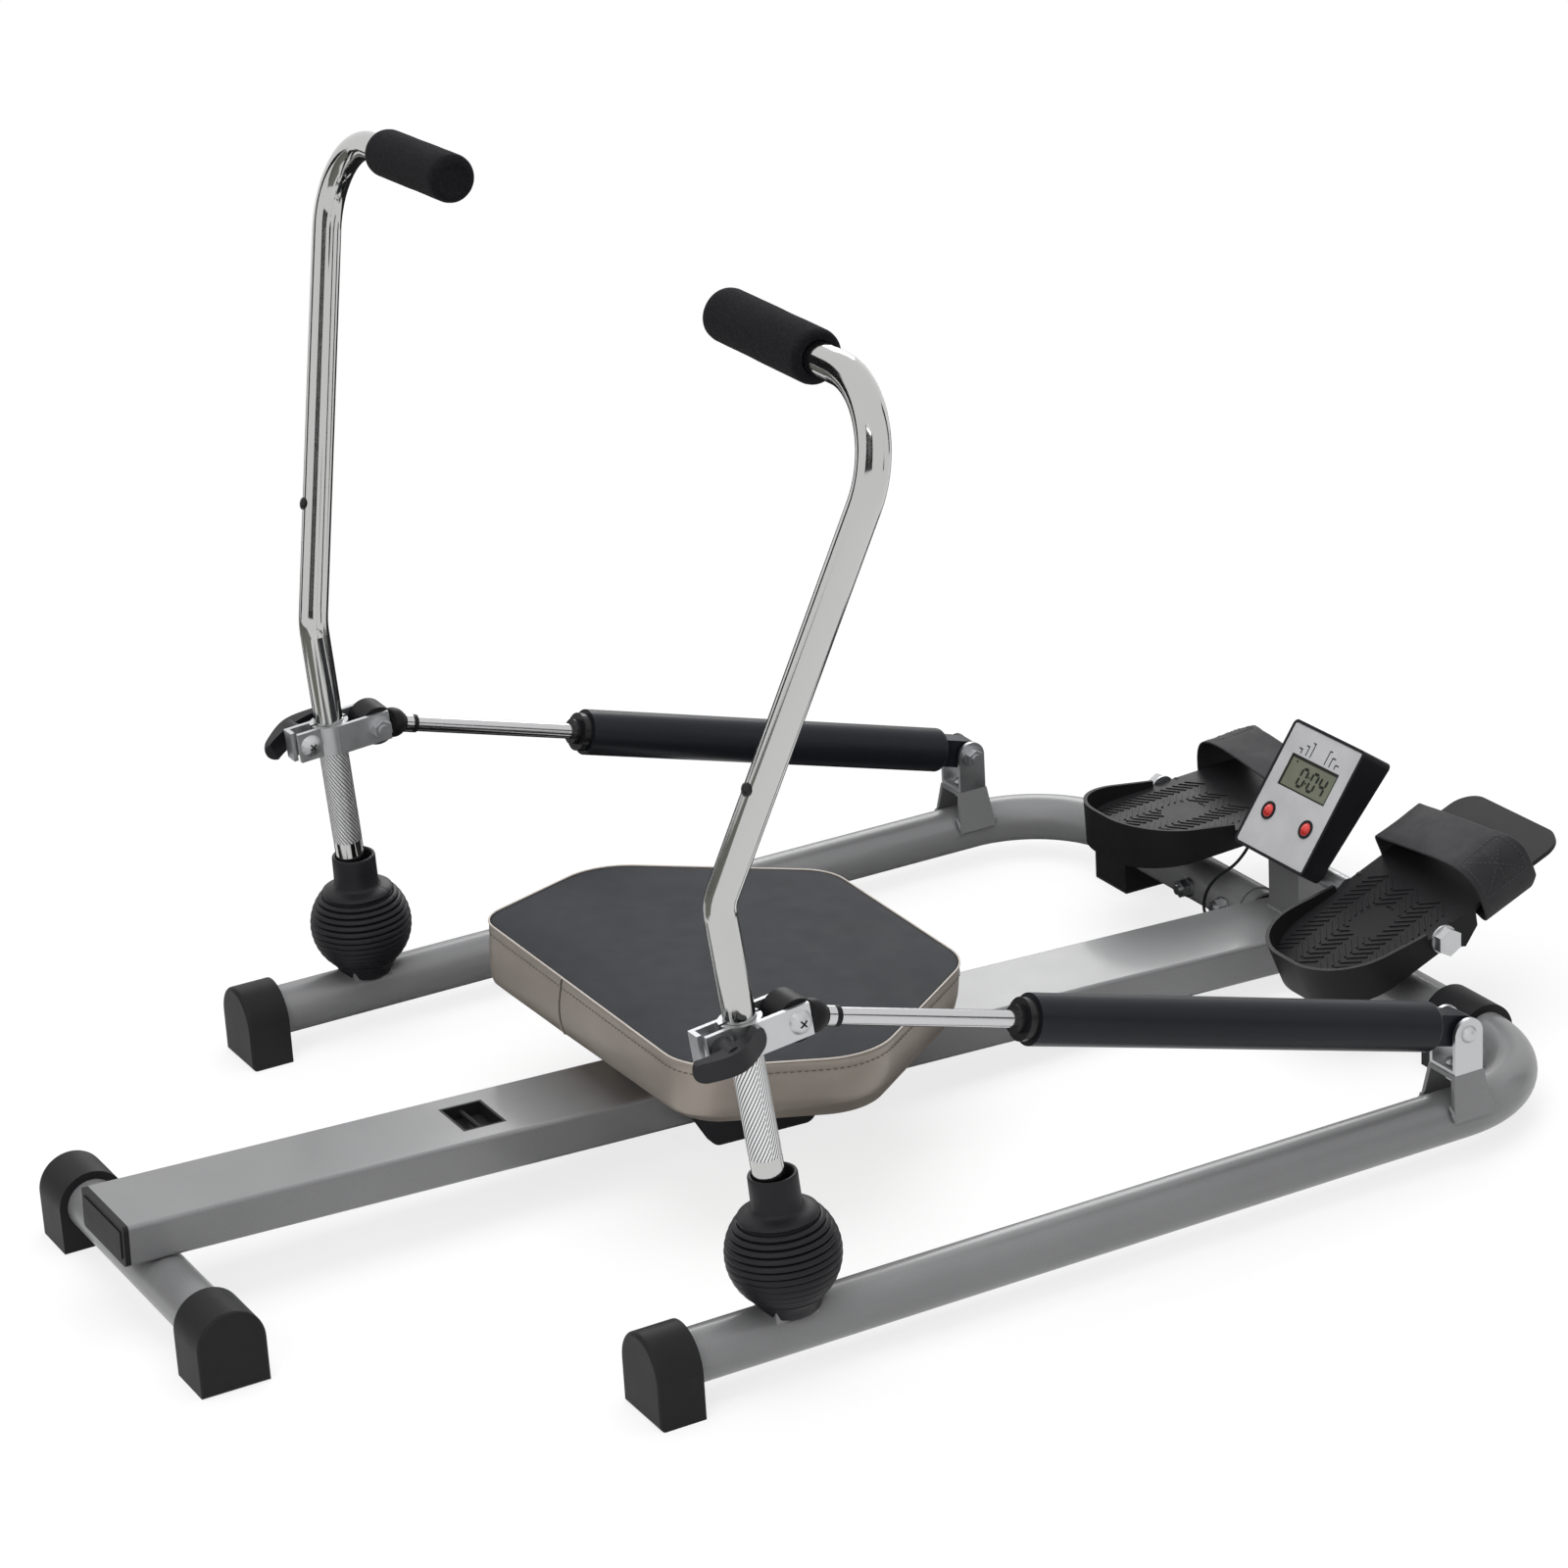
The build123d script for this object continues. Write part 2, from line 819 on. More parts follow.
def pedal_tray():
    """Tray with its heel rim, floor, hub for the axle and front bump."""
    outer = pedal_plan(0)
    low = pedal_bump_low - pedal_wall
    tall = Pos(0, 0, low) * extrude(outer, overrun)
    hollow = Pos(0, 0, low) * extrude(pedal_plan(pedal_wall), overrun)
    rim_tan = math.tan(math.radians(pedal_rim_slope))
    rim_back = pedal_rim_at_axle + pedal_heel_back * rim_tan
    rim_end = (pedal_rim_at_axle - pedal_floor_top) / rim_tan
    wide = pedal_half_width
    skirt = side_outline(
        [
            (-pedal_heel_back, pedal_skirt_low),
            (0, pedal_skirt_low),
            (strap_back - strap_thickness, plate_low),
            (strap_back - strap_thickness, pedal_floor_top),
            (rim_end, pedal_floor_top),
            (-pedal_heel_back, rim_back),
        ],
        -wide,
        wide,
    )
    walls = skirt & (tall - hollow)
    floor = tall & side_outline(
        [
            (-pedal_heel_back, plate_low),
            (pedal_toe_front, plate_low),
            (pedal_toe_front, pedal_floor_top),
            (-pedal_heel_back, pedal_floor_top),
        ],
        -wide,
        wide,
    )
    tray = walls + floor
    hub_half = wide
    hub = bar((-hub_half, 0, 0), (hub_half, 0, 0), pedal_hub_radius)
    hub &= side_outline(
        [
            (-overrun, -overrun),
            (overrun, -overrun),
            (overrun, pedal_floor_top),
            (-overrun, pedal_floor_top),
        ],
        -hub_half,
        hub_half,
    )
    tray += hub
    for side in (-1, 1):
        bump_x = side * (wide - pedal_bump_width / 2)
        bump = side_outline(
            [
                (0, plate_low),
                (0, pedal_skirt_low),
                (pedal_bump_front / 2, pedal_bump_low),
                (pedal_bump_front, pedal_bump_low / 2),
                (pedal_bump_front + pedal_wall, plate_low),
            ],
            bump_x - pedal_bump_width / 2,
            bump_x + pedal_bump_width / 2,
        )
        tray += bump
    inner_notch = block(
        pedal_wall - wide - overrun,
        pedal_wall - wide,
        -pedal_notch_half,
        pedal_notch_half,
        pedal_floor_top,
        overrun,
    )
    tray -= inner_notch
    tray -= mirrored(inner_notch)
    cavity = side_outline(
        [
            (pedal_wall - pedal_heel_back, pedal_floor_top),
            (rim_end, pedal_floor_top),
            (rim_end, overrun),
            (pedal_wall - pedal_heel_back, overrun),
        ],
        pedal_wall - wide,
        wide - pedal_wall,
    )
    tray -= cavity & hollow
    inside = hollow & side_outline(
        [
            (-pedal_heel_back, pedal_floor_top - tread_height),
            (strap_back - strap_thickness, pedal_floor_top - tread_height),
            (strap_back - strap_thickness, overrun),
            (-pedal_heel_back, overrun),
        ],
        -wide,
        wide,
    )
    inside -= Pos(0, -pedal_disc_back, 0) * Cylinder(pedal_disc_radius, overrun)
    for rib in tread_lines():
        kept = rib & inside
        if kept:
            tray += kept
    tray -= bar((-overrun, 0, 0), (overrun, 0, 0), axle_dia / 2 + running_fit)
    return tray


def strap_solid():
    """A closed band round the plate with a raised arch for the foot."""
    side = pedal_half_width + strap_seat_gap + strap_thickness
    low = plate_low - strap_seat_gap - strap_thickness
    points = [(-side, low)]
    points += [(side * x, strap_crest * z) for x, z in strap_line_shares]
    points.append((side * strap_return_share, low))
    outline = Plane.XZ * Polygon(*points, align=None)
    inner = offset(outline, -strap_thickness, kind=Kind.INTERSECTION)
    ring = extrude(outline - inner, strap_width, dir=(0, 1, 0))
    return Pos(0, strap_back, 0) * ring


tray = pedal_tray()
strap = strap_solid()
for side_name, sign, tilt in (("right", 1, pedal_tilt_right), ("left", -1, pedal_tilt_left)):
    frame = Pos(sign * pedal_middle, axle_y, axle_z) * Rot(X=tilt)
    parts[side_name + "_pedal"] = frame * tray
    parts[side_name + "_strap"] = frame * (strap if sign > 0 else mirrored(strap))
    moved_frames[side_name + "_pedal"] = frame

# Front cylinder brackets: folded trapezoid welded over each rail
bracket_half_top = bracket_top_width / 2
bracket_half_low = bracket_low_width / 2
bracket_outer = [
    (-bracket_half_low, bracket_leg_low),
    (bracket_half_low, bracket_leg_low),
    (bracket_half_top, bracket_top),
    (-bracket_half_top, bracket_top),
]
bracket_rise = bracket_top - bracket_leg_low
bracket_lean = (bracket_half_low - bracket_half_top) / bracket_rise
bracket_inner_top = bracket_half_top - sheet_thickness
bracket_ceiling = bracket_top - sheet_thickness
bracket_foot_half = bracket_inner_top + bracket_lean * (bracket_rise + overrun)
bracket_inner = [
    (-bracket_foot_half, bracket_leg_low - overrun),
    (bracket_foot_half, bracket_leg_low - overrun),
    (bracket_inner_top, bracket_ceiling),
    (-bracket_inner_top, bracket_ceiling),
]


def across_outline(points, y0, y1):
    """An outline in X and Z, drawn through from y0 to y1."""
    plane = Plane(origin=(0, y1, 0), x_dir=(1, 0, 0), z_dir=(0, -1, 0))
    return plane.location * extrude(Polygon(*points, align=None), y1 - y0, dir=(0, 0, 1))


bracket_length_half = bracket_low_length / 2
bracket = across_outline(bracket_outer, -bracket_length_half, bracket_length_half)
bracket -= across_outline(bracket_inner, -overrun, overrun)
bracket_top_half = bracket_top_length / 2
bracket &= side_outline(
    [
        (-bracket_length_half, bracket_leg_low),
        (bracket_length_half, bracket_leg_low),
        (bracket_top_half, bracket_top),
        (-bracket_top_half, bracket_top),
    ],
    -bracket_half_low,
    bracket_half_low,
)
bracket -= Pos(0, 0, bracket_top) * Cylinder(bolt_radius, overrun)
bracket = Pos(rail_x, front_pivot_y, 0) * bracket
rail_inside = bar(
    (rail_x, 0, rail_height),
    (rail_x, front_pivot_y + overrun, rail_height),
    rail_radius - rail_wall,
)
right_rail = rail + (bracket - rail_inside)

# Clevis: a folded strap with round-topped legs, swivelling on its base bolt
clevis_half = clevis_gap / 2 + clevis_sheet
clevis_low = bracket_top
clevis_base_top = clevis_low + clevis_sheet
clevis_leg_half = clevis_length / 2
clevis = block(
    -clevis_half,
    clevis_half,
    -clevis_leg_half,
    clevis_leg_half,
    clevis_low,
    front_pivot_z,
)
clevis += bar((-clevis_half, 0, front_pivot_z), (clevis_half, 0, front_pivot_z), clevis_leg_half)
clevis -= block(
    -clevis_gap / 2,
    clevis_gap / 2,
    -overrun,
    overrun,
    clevis_base_top,
    overrun,
)
clevis -= bar((-overrun, 0, front_pivot_z), (overrun, 0, front_pivot_z), bolt_radius)
clevis -= Pos(0, 0, clevis_low) * Cylinder(bolt_radius + running_fit, overrun)
clevis = Pos(rail_x, front_pivot_y, 0) * clevis

# Pivot bolt: head outside, nut and washer inside
head_reach = clevis_half + clevis_bolt_head
washer_reach = clevis_half + washer_thickness
nut_reach = washer_reach + nut_height
tail_reach = nut_reach + washer_thickness
pivot_bolt = bar((-tail_reach, 0, front_pivot_z), (clevis_half, 0, front_pivot_z), bolt_radius)
pivot_head = dome((clevis_half, 0, front_pivot_z), (head_reach, 0, front_pivot_z), nut_across / 2)
pivot_bolt += pivot_head
pivot_washer = pipe(
    (-washer_reach, 0, front_pivot_z),
    (-clevis_half, 0, front_pivot_z),
    washer_dia / 2,
    bolt_radius,
)
pivot_nut = nut((-nut_reach, 0, front_pivot_z), (-washer_reach, 0, front_pivot_z), nut_across, bolt_radius)
pivot_set = Pos(rail_x, front_pivot_y, 0) * (pivot_bolt + pivot_washer + pivot_nut)

# Base bolt: fixed in the bracket, the clevis turns round it
base_head_low = clevis_base_top + loose_fit
base_head_high = base_head_low + clevis_bolt_head
base_bolt = bar((0, 0, rail_height + rail_radius + loose_fit), (0, 0, base_head_low), bolt_radius)
base_bolt += dome((0, 0, base_head_low), (0, 0, base_head_high), bolt_dia)
base_nut_high = bracket_ceiling
base_nut_low = base_nut_high - nut_height
base_nut = nut((0, 0, base_nut_low), (0, 0, base_nut_high), nut_across, bolt_radius)
base_set = Pos(rail_x, front_pivot_y, 0) * (base_bolt + base_nut)

# Rail bolts with their washers and nuts
frame_fasteners = []
for x in rail_bolts_x:
    rear = crossbar_y - rail_radius
    front = crossbar_y + rail_radius
    nut_face = rear - washer_thickness
    washer = pipe((x, nut_face, rail_height), (x, rear, rail_height), washer_dia / 2, bolt_radius)
    nut_end = nut_face - nut_height
    hex_nut = nut((x, nut_end, rail_height), (x, nut_face, rail_height), nut_across, bolt_radius)
    tail = nut_end - washer_thickness * 2
    shank = bar((x, tail, rail_height), (x, front, rail_height), bolt_radius)
    head = dome((x, front, rail_height), (x, front + dome_height, rail_height), nut_across / 2)
    rounded_tube = bar((0, crossbar_y, rail_height), (rail_x, crossbar_y, rail_height), rail_radius)
    fastener = shank + (washer - rounded_tube) + (hex_nut - rounded_tube) + head
    frame_fasteners.append(fastener)
frame_fasteners.append(base_set)
frame_fasteners += [mirrored(piece) for piece in frame_fasteners]
parts["frame_fasteners"] = group(*frame_fasteners)

# Arm joint base: a saddle on the rail with two ears holding the spider's pin
base_x = joint_base_width / 2
base_y = joint_base_length / 2
ear_out = joint_ear_inner + joint_ear_thickness
joint_base = block(-base_x, base_x, -base_y, base_y, rail_height, joint_base_top)
rail_bar = bar((0, -overrun, rail_height), (0, overrun, rail_height), rail_radius)
joint_base -= rail_bar
joint_base -= block(-base_x, base_x, -base_y, base_y, 0, rail_height + rail_radius / 2)
for sign in (-1, 1):
    near = sign * joint_ear_inner
    far = sign * ear_out
    ear = block(-joint_ear_radius, joint_ear_radius, near, far, joint_base_top - loose_fit, arm_joint_z)
    ear += bar((0, near, arm_joint_z), (0, far, arm_joint_z), joint_ear_radius)
    joint_base += ear
pitch = math.degrees(math.atan2(front_pivot_z - arm_joint_z, front_pivot_y - arm_joint_y))
pin_radius = spider_pin_dia / 2
pin_half = ear_out - running_fit
pin_bore = bar((0, -overrun, 0), (0, overrun, 0), pin_radius + running_fit)
joint_base -= Pos(0, 0, arm_joint_z) * (Rot(X=pitch) * pin_bore)
joint_base = Pos(rail_x, arm_joint_y, 0) * joint_base
parts["joint_bases"] = group(joint_base, mirrored(joint_base))
parts["right_rail"] = right_rail
parts["left_rail"] = mirrored(right_rail)

# Spider: a core block with four trunnions
core = spider_core / 2
spider = block(-core, core, -core, core, -core, core)
spider = fillet(spider.edges(), spider_core / 8)
spider += bar((0, -pin_half, 0), (0, pin_half, 0), pin_radius)
spider += bar((-pin_half, 0, 0), (pin_half, 0, 0), pin_radius)

# Arm fork and tube in the arm's own frame: joint at the origin, Z up the arm
arm_radius = arm_dia / 2
grip_way = Vector(-1, 0, arm_grip_rise_share).normalized()
arm_bend = Vector(0, 0, arm_bend_height)
arm_top = Vector(arm_top_out, arm_top_forward, arm_top_height)
arm_way = (arm_top - arm_bend).normalized()
arm_end = arm_top + grip_way * (grip_start + grip_length - grip_end_cover)
arm_path = FilletPolyline(
    (0, 0, fork_cap_top),
    tuple(arm_bend),
    tuple(arm_top),
    tuple(arm_end),
    radius=[arm_bend_radius, arm_top_radius],
)
arm_section = Plane(origin=arm_path @ 0, z_dir=arm_path % 0)
arm_face = arm_section * (Circle(arm_radius) - Circle(arm_radius - arm_wall))
arm = sweep(arm_face, path=arm_path)
fork = block(-ear_out, ear_out, -joint_ear_radius, joint_ear_radius, 0, fork_cap_top)
fork += bar((-ear_out, 0, 0), (ear_out, 0, 0), joint_ear_radius)
fork -= block(
    -joint_ear_inner,
    joint_ear_inner,
    -overrun,
    overrun,
    -overrun,
    fork_cap_low,
)
fork &= bar((0, 0, -overrun), (0, 0, overrun), boot_neck_bottom - boot_wall * 4)
fork -= bar((-overrun, 0, 0), (overrun, 0, 0), pin_radius + running_fit)
arm += fork
plug_at = arm_bend + arm_way * arm_plug_along
rearward = Vector(0, -1, 0)
plug_way = (rearward - arm_way * rearward.dot(arm_way)).normalized()
plug_hole = bar(tuple(plug_at), tuple(plug_at + plug_way * overrun), arm_plug_dia / 2)
arm -= plug_hole
arm_plug = bar(
    tuple(plug_at + plug_way * (arm_radius - arm_wall * 2)),
    tuple(plug_at + plug_way * (arm_radius + arm_plug_raise)),
    arm_plug_dia / 2,
)

# Foam grip
grip_first = arm_top + grip_way * grip_start
grip_last = grip_first + grip_way * grip_length
grip = bar(tuple(grip_first), tuple(grip_last), grip_dia / 2)
grip = fillet(grip.edges(), grip_edge)
grip -= bar(tuple(grip_last - grip_way * grip_disc_sink), tuple(grip_last), grip_disc_dia / 2)
grip -= bar(tuple(grip_first), tuple(grip_last - grip_way * grip_end_cover), arm_radius)

# Boot: ribbed bellows ball under a smooth neck, hollow for the joint
boot_inner = boot_radius - boot_wall - boot_rib_depth


def ring_face(height, radius):
    """A circle square to the arm at a height above the joint."""
    plane = Plane(origin=(0, 0, height), x_dir=(1, 0, 0), z_dir=(0, 0, 1))
    return plane * Circle(radius)


def ball_radius_at(height, radius):
    """Radius of a ball's section at a height from its middle."""
    return math.sqrt(max(radius * radius - height * height, (boot_neck_dia / 4) ** 2))


def ribbed_ball():
    """Bellows: each rib rises, runs and falls between four circles."""
    rib_pitch = (boot_neck_bottom + boot_low) / boot_ribs
    sections = []
    for rib in range(boot_ribs):
        low = rib * rib_pitch - boot_low
        for share, crest in ((0.02, 0), (0.3, 1), (0.7, 1), (0.98, 0)):
            height = low + share * rib_pitch
            outline = ball_radius_at(height, boot_radius)
            sections.append(ring_face(height, outline - boot_rib_depth * (1 - crest)))
    return loft(sections, ruled=True)


def plain_ball(radius, low, high, steps):
    """Smooth inside of the bellows, cut level at both ends."""
    ball = Sphere(radius)
    return ball & block(-radius, radius, -radius, radius, low, high)


boot = ribbed_ball()
neck_low = boot_neck_bottom - boot_rib_depth
boot += bar((0, 0, neck_low), (0, 0, boot_neck_top), boot_neck_dia / 2)
boot -= plain_ball(boot_inner, -boot_low, boot_neck_bottom - boot_wall, boot_ribs)
boot_opening = ball_radius_at(boot_low, boot_inner)
boot += bar((0, 0, -boot_radius), (0, 0, boot_rib_depth - boot_low), boot_skirt_radius)
boot -= bar((0, 0, -overrun), (0, 0, -boot_low / 2), boot_opening)
boot -= bar((0, 0, 0), (0, 0, boot_neck_top), boot_neck_inner / 2)

# Clamp halves round the knurled tube
saddle_inner = arm_radius + loose_fit
saddle_outer = saddle_inner + clamp_strip
clamp_low = clamp_height_on_arm - clamp_depth / 2
clamp_high = clamp_height_on_arm + clamp_depth / 2
saddle = pipe((0, 0, clamp_low), (0, 0, clamp_high), saddle_outer, saddle_inner)
saddle &= block(clamp_halves_gap / 2, overrun, -overrun, overrun, clamp_low, clamp_high)
tab_outer = clamp_tab_inner + clamp_strip
ear_outer = clamp_ear_inner + clamp_strip
clamp = saddle
rear_tab = block(clamp_tab_inner, tab_outer, -clamp_rear, -saddle_inner * 0.8, clamp_low, clamp_high)
front_tab = block(clamp_ear_inner, ear_outer, 0, clamp_front, clamp_low, clamp_high)
tube_space = bar((0, 0, clamp_low), (0, 0, clamp_high), saddle_inner)
clamp += rear_tab - tube_space
clamp += front_tab - tube_space
bolt_at = (-clamp_bolt_back, clamp_height_on_arm)
eye_at = (eye_forward, clamp_height_on_arm)
for y, z in (bolt_at, eye_at):
    clamp -= bar((-overrun, y, z), (overrun, y, z), bolt_radius)
flange = block(
    -clamp_flange_reach,
    tab_outer,
    -clamp_rear - clamp_strip,
    -clamp_rear,
    clamp_low,
    clamp_high,
)
flanged_clamp = clamp + flange
clamp_sets = {
    "right": group(clamp, mirrored(flanged_clamp)),
    "left": group(flanged_clamp, mirrored(clamp)),
}

# Clamp bolt with its domed head inside, eye bolt with its nut inside
bolt_y, bolt_z = bolt_at
knob_face = tab_outer + loose_fit
clamp_bolt = bar((-tab_outer, bolt_y, bolt_z), (knob_face + knob_hub_length / 2, bolt_y, bolt_z), bolt_radius)
clamp_bolt += dome((-tab_outer, bolt_y, bolt_z), (-tab_outer - dome_height, bolt_y, bolt_z), dome_dia / 2)
eye_y, eye_z = eye_at
eye_nut_reach = ear_outer + nut_height
eye_bolt = bar((-eye_nut_reach - washer_thickness, eye_y, eye_z), (ear_outer, eye_y, eye_z), bolt_radius)
eye_bolt += dome((ear_outer, eye_y, eye_z), (ear_outer + dome_height, eye_y, eye_z), dome_dia / 2)
eye_nut = nut((-eye_nut_reach, eye_y, eye_z), (-ear_outer, eye_y, eye_z), nut_across, bolt_radius)
eye_washer_reach = ear_outer + washer_thickness
eye_nut += pipe((-eye_washer_reach, eye_y, eye_z), (-ear_outer, eye_y, eye_z), washer_dia / 2, bolt_radius)

# T-knob: a hub on the bolt and a swept wing
knob_start = knob_face
hub_end = knob_start + knob_hub_length
wing_tip = (knob_wing_half, -knob_wing_sweep)
wing_back_tip = (knob_wing_half - knob_wing_thickness / 2, -knob_wing_sweep - knob_wing_thickness / 3)
with BuildSketch(Plane.XZ) as wing_sketch:
    with BuildLine():
        Spline(
            (-knob_wing_half, -knob_wing_sweep),
            (-knob_wing_half / 2, 0),
            (0, knob_wing_thickness / 2),
            (knob_wing_half / 2, 0),
            wing_tip,
        )
        Line(wing_tip, wing_back_tip)
        Spline(
            wing_back_tip,
            (knob_wing_half / 2, -knob_wing_thickness * 0.9),
            (0, -knob_wing_thickness * 0.7),
            (-knob_wing_half / 2, -knob_wing_thickness * 0.9),
            (-wing_back_tip[0], wing_back_tip[1]),
        )
        Line((-wing_back_tip[0], wing_back_tip[1]), (-knob_wing_half, -knob_wing_sweep))
    make_face()
wing = extrude(wing_sketch.sketch, knob_wing_height / 2, both=True)
wing_trim = Plane.XY * Rectangle(knob_wing_half * 2, knob_wing_height)
wing_plan = fillet(wing_trim.vertices(), knob_wing_height / 2.2)
wing &= extrude(wing_plan, overrun, both=True)
hub = Cylinder(knob_hub_dia / 2, knob_hub_length, align=(Align.CENTER, Align.CENTER, Align.MAX))
knob = wing + hub
knob = Pos(0, 0, hub_end - knob_start) * knob
knob -= Cylinder(bolt_radius + running_fit, knob_hub_length, align=(Align.CENTER, Align.CENTER, Align.CENTER))
knob_frame = Plane(origin=(knob_start, bolt_y, bolt_z), x_dir=(0, 1, 0), z_dir=(1, 0, 0)).location

# Cylinder in its own frame: rod eye at the origin, Y to the front pivot
eye_bore = bolt_radius + eye_play
eye_width = clamp_ear_inner * 2 - loose_fit * 3
rod_eye = bar((-eye_width / 2, 0, 0), (eye_width / 2, 0, 0), eye_dia / 2)
eye_ball = Pos(0, eye_ball_forward, 0) * Sphere(eye_ball_dia / 2)
rod_eye += eye_ball
rod_eye += bar((0, 0, 0), (0, collar_start, 0), collar_dia / 2)
rod_eye -= bar((-overrun, 0, 0), (overrun, 0, 0), eye_bore)
rod_eye -= bar((0, collar_start, 0), (0, rod_reach, 0), collar_dia / 2)
rod_radius = rod_dia / 2
rod_ring_start = collar_start + collar_length
rod_ring_end = rod_ring_start + rod_ring_length
rod = bar((0, collar_start, 0), (0, rod_reach, 0), rod_radius)
rod += bar((0, collar_start, 0), (0, rod_ring_start, 0), collar_dia / 2)
barrel_inner = barrel_dia / 2 - barrel_wall
rod += bar((0, rod_reach - piston_length, 0), (0, rod_reach, 0), barrel_inner - piston_gap)
rod_ring = pipe((0, rod_ring_start, 0), (0, rod_ring_end, 0), collar_dia / 2, rod_radius)
rod_eye_set = group(rod_eye, rod_ring)


def cylinder_pieces(pivot_distance):
    """Barrel with its lug and the stepped gland, for one pivot distance."""
    barrel_end = pivot_distance - barrel_end_gap
    start = (0, barrel_start, 0)
    barrel = bar(start, (0, barrel_end, 0), barrel_dia / 2)
    far_rim = barrel.edges().filter_by(GeomType.CIRCLE).sort_by(Axis.Y)[-1]
    barrel = fillet(far_rim, barrel_edge)
    barrel -= bar(start, (0, barrel_end - barrel_end_wall, 0), barrel_inner)
    lug_half = lug_width / 2
    lug = bar((-lug_half, pivot_distance, 0), (lug_half, pivot_distance, 0), lug_dia / 2)
    lug += block(
        -lug_half,
        lug_half,
        barrel_end - barrel_edge,
        pivot_distance,
        -lug_dia / 2,
        lug_dia / 2,
    )
    lug -= bar((-lug_half, pivot_distance, 0), (lug_half, pivot_distance, 0), bolt_radius + lug_play)
    barrel += lug
    gland_end = barrel_start - gland_length
    gland = bar((0, gland_end + gland_nose_length, 0), start, gland_step_dia / 2)
    gland += bar((0, gland_end, 0), start, gland_nose_dia / 2)
    gland += bar(start, (0, barrel_start + gland_spigot, 0), barrel_inner)
    bore_start = (0, gland_end, 0)
    gland -= bar(bore_start, (0, barrel_start + gland_spigot, 0), rod_radius + running_fit)
    return barrel, gland


# Both sides, each at the lean and pedal angle it is left standing at
ball_to_pivot = math.hypot(front_pivot_y - arm_joint_y, front_pivot_z - arm_joint_z)
for side_name, lean, knob_turn in (
    ("right", arm_lean_right, knob_turn_right),
    ("left", arm_lean_left, knob_turn_left),
):
    spread_frame = Pos(rail_x, arm_joint_y, arm_joint_z) * Rot(X=pitch) * Rot(Y=-arm_splay)
    arm_frame = spread_frame * Rot(X=lean - pitch)
    boot_frame = spread_frame * Rot(X=lean - pitch - boot_lag)
    turn = math.radians(lean - pitch)
    eye_local_y = eye_forward * math.cos(turn) - clamp_height_on_arm * math.sin(turn)
    eye_local_z = eye_forward * math.sin(turn) + clamp_height_on_arm * math.cos(turn)
    pivot_distance = math.hypot(ball_to_pivot - eye_local_y, eye_local_z)
    fall = math.degrees(math.atan2(eye_local_z, ball_to_pivot - eye_local_y))
    cylinder_frame = spread_frame * Pos(0, eye_local_y, eye_local_z) * Rot(X=-fall)
    barrel, gland = cylinder_pieces(pivot_distance)
    pieces = {
        "arm_spider": spread_frame * spider,
        "arm": arm_frame * arm,
        "grip": arm_frame * grip,
        "boot": boot_frame * boot,
        "clamp_halves": arm_frame * clamp_sets[side_name],
        "arm_fasteners": arm_frame * group(clamp_bolt, eye_bolt, eye_nut, arm_plug),
        "clamp_knob": arm_frame * knob_frame * Rot(Z=knob_turn) * knob,
        "piston_rod": cylinder_frame * rod,
        "rod_eye": cylinder_frame * rod_eye_set,
        "barrel": cylinder_frame * barrel,
        "gland": cylinder_frame * gland,
        "clevis": clevis,
        "pivot_bolt": pivot_set,
    }
    boot_floor = joint_base_top + loose_fit
    base_plan = block(-overrun * 2, overrun * 2, -overrun, overrun * 3, -overrun, boot_floor)
    pieces["boot"] -= base_plan
    if side_name == "right":
        moved_frames["right_spread"] = spread_frame
        moved_frames["right_arm"] = arm_frame
        moved_frames["right_cylinder"] = cylinder_frame
        moved_frames["right_knob"] = arm_frame * knob_frame
    else:
        moved_frames["left_spread_mirrored"] = spread_frame
        moved_frames["left_arm_mirrored"] = arm_frame
        moved_frames["left_cylinder_mirrored"] = cylinder_frame
        moved_frames["left_knob_mirrored"] = arm_frame * knob_frame
    moved_frames[side_name + "_pivot_distance"] = pivot_distance
    for name, piece in pieces.items():
        if side_name == "left":
            piece = mirrored(piece)
        parts[side_name + "_" + name] = piece

# Seat in the beam's frame: Y along the beam, Z above its top face
cushion_high = seat_top - beam_top_at(seat_y)
cushion_low = cushion_high - cushion_depth
seat_outline = [
    (-cushion_rear_half, cushion_rear),
    (cushion_rear_half, cushion_rear),
    (cushion_half_width, cushion_wide),
    (cushion_front_half, cushion_front),
    (-cushion_front_half, cushion_front),
    (-cushion_half_width, cushion_wide),
]


def seat_plan(inset):
    """Rounded six-sided seat outline, drawn in by an inset."""
    outline = make_face(Polyline(*seat_outline, close=True))
    for y, radius in (
        (cushion_rear, cushion_rear_corner),
        (cushion_wide, cushion_wide_corner),
        (cushion_front, cushion_front_corner),
    ):
        corners = outline.vertices().sort_by(lambda corner: abs(corner.Y - y))
        outline = fillet(corners[:2], radius)
    if inset:
        outline = offset(outline, -inset)
    return outline


crown_low = cushion_high - cushion_crown
cushion = Pos(0, 0, cushion_low) * extrude(seat_plan(0), crown_low - cushion_low, taper=0)
top_edge = cushion.faces().sort_by(Axis.Z)[-1].edges()
cushion = fillet(top_edge, cushion_edge)
crown_plan = seat_plan(cushion_edge * 2)
crown = Pos(0, 0, crown_low) * extrude(crown_plan, cushion_crown, taper=60)
cushion += crown
low_edge = cushion.faces().sort_by(Axis.Z)[0].edges()
cushion = chamfer(low_edge, cushion_draw)
seat_board = Pos(0, 0, cushion_low) * extrude(seat_plan(board_inset), seat_board_thickness)
cushion -= seat_board
parts["seat_cushion"] = beam_frame * cushion
parts["seat_board"] = beam_frame * seat_board

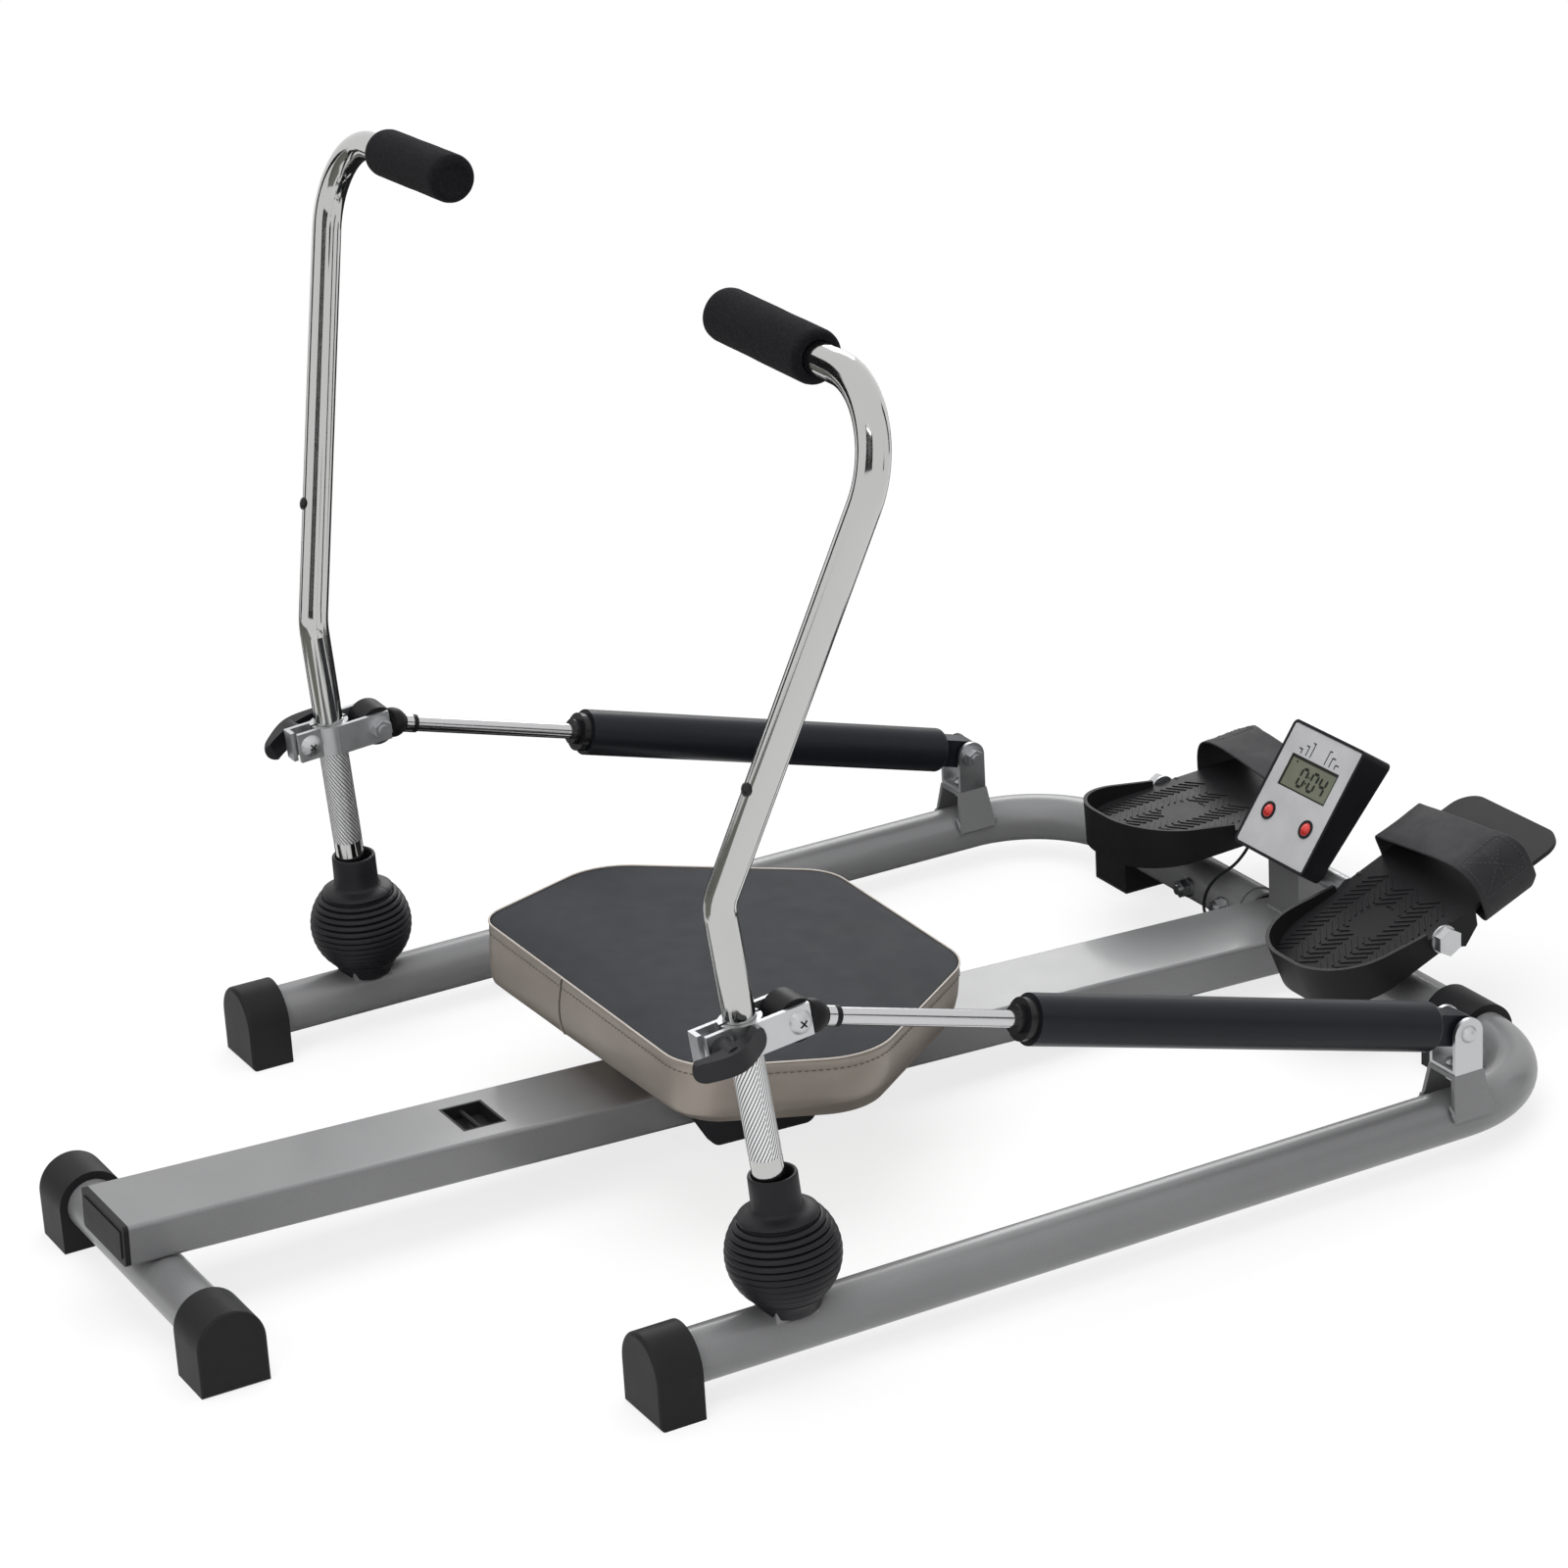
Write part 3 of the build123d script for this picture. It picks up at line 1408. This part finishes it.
# Carriage: a deck with two cheeks that reach below the beam
middle = carriage_middle
cheek_outer = carriage_cheek_inner + carriage_cheek
deck_low = cushion_low - carriage_deck
top_half = carriage_top_length / 2
low_half = carriage_low_length / 2
cheek_profile = [
    (middle - top_half, cushion_low),
    (middle + top_half, cushion_low),
    (middle + top_half, -beam_depth / 2),
    (middle + low_half, -carriage_drop),
    (middle - low_half, -carriage_drop),
    (middle - top_half, -beam_depth / 2),
]
carriage = side_outline(cheek_profile, -cheek_outer, cheek_outer)
low_corners = carriage.edges().filter_by(Axis.X).group_by(Axis.Z)[0]
carriage = fillet(low_corners, carriage_corner)
carriage -= block(
    -carriage_cheek_inner,
    carriage_cheek_inner,
    -overrun,
    overrun * 3,
    -overrun,
    deck_low,
)
roller_radius = roller_dia / 2
roller_z = roller_radius + roller_gap
under_z = -beam_depth - roller_gap - under_roller_dia / 2
axle_radius = roller_axle_dia / 2
under_axle_radius = under_roller_dia / 4
axle_places = [
    (middle - roller_offset, roller_z, axle_radius),
    (middle + roller_offset, roller_z, axle_radius),
    (middle, under_z, under_axle_radius),
]
axles = []
for y, z, radius in axle_places:
    reach = cheek_outer + sheet_thickness
    carriage -= bar((-overrun, y, z), (overrun, y, z), radius)
    pin = bar((-cheek_outer, y, z), (cheek_outer, y, z), radius)
    pin += dome((cheek_outer, y, z), (reach, y, z), radius * 2)
    pin += dome((-cheek_outer, y, z), (-reach, y, z), radius * 2)
    axles.append(beam_frame * pin)
parts["seat_carriage"] = beam_frame * carriage
parts["roller_axles"] = group(*axles)
roller_names = ["rear_roller", "front_roller", "under_roller"]
for name, (y, z, radius) in zip(roller_names, axle_places):
    outer = under_roller_dia / 2 if name == "under_roller" else roller_radius
    spool = pipe((-roller_half_length, y, z), (roller_half_length, y, z), outer, radius + running_fit)
    groove = outer / 8
    third = roller_half_length / 3
    spool -= pipe((-third, y, z), (third, y, z), outer, outer - groove)
    parts[name] = beam_frame * spool
    moved_frames[name] = beam_frame * Pos(0, y, z)

# Origin to the middle of the part's footprint, floor at zero
bounds = [piece.bounding_box() for name, piece in parts.items() if name != "sensor_cable"]
low_x = min(box.min.X for box in bounds)
high_x = max(box.max.X for box in bounds)
low_y = min(box.min.Y for box in bounds)
high_y = max(box.max.Y for box in bounds)
low_z = min(box.min.Z for box in bounds)
origin_shift = (-(low_x + high_x) / 2, -(low_y + high_y) / 2, -low_z)
print("origin shift", origin_shift, "height", max(box.max.Z for box in bounds))

os.makedirs("parts", exist_ok=True)
for name, piece in parts.items():
    export_step(Pos(*origin_shift) * piece, "parts/" + name + ".step")
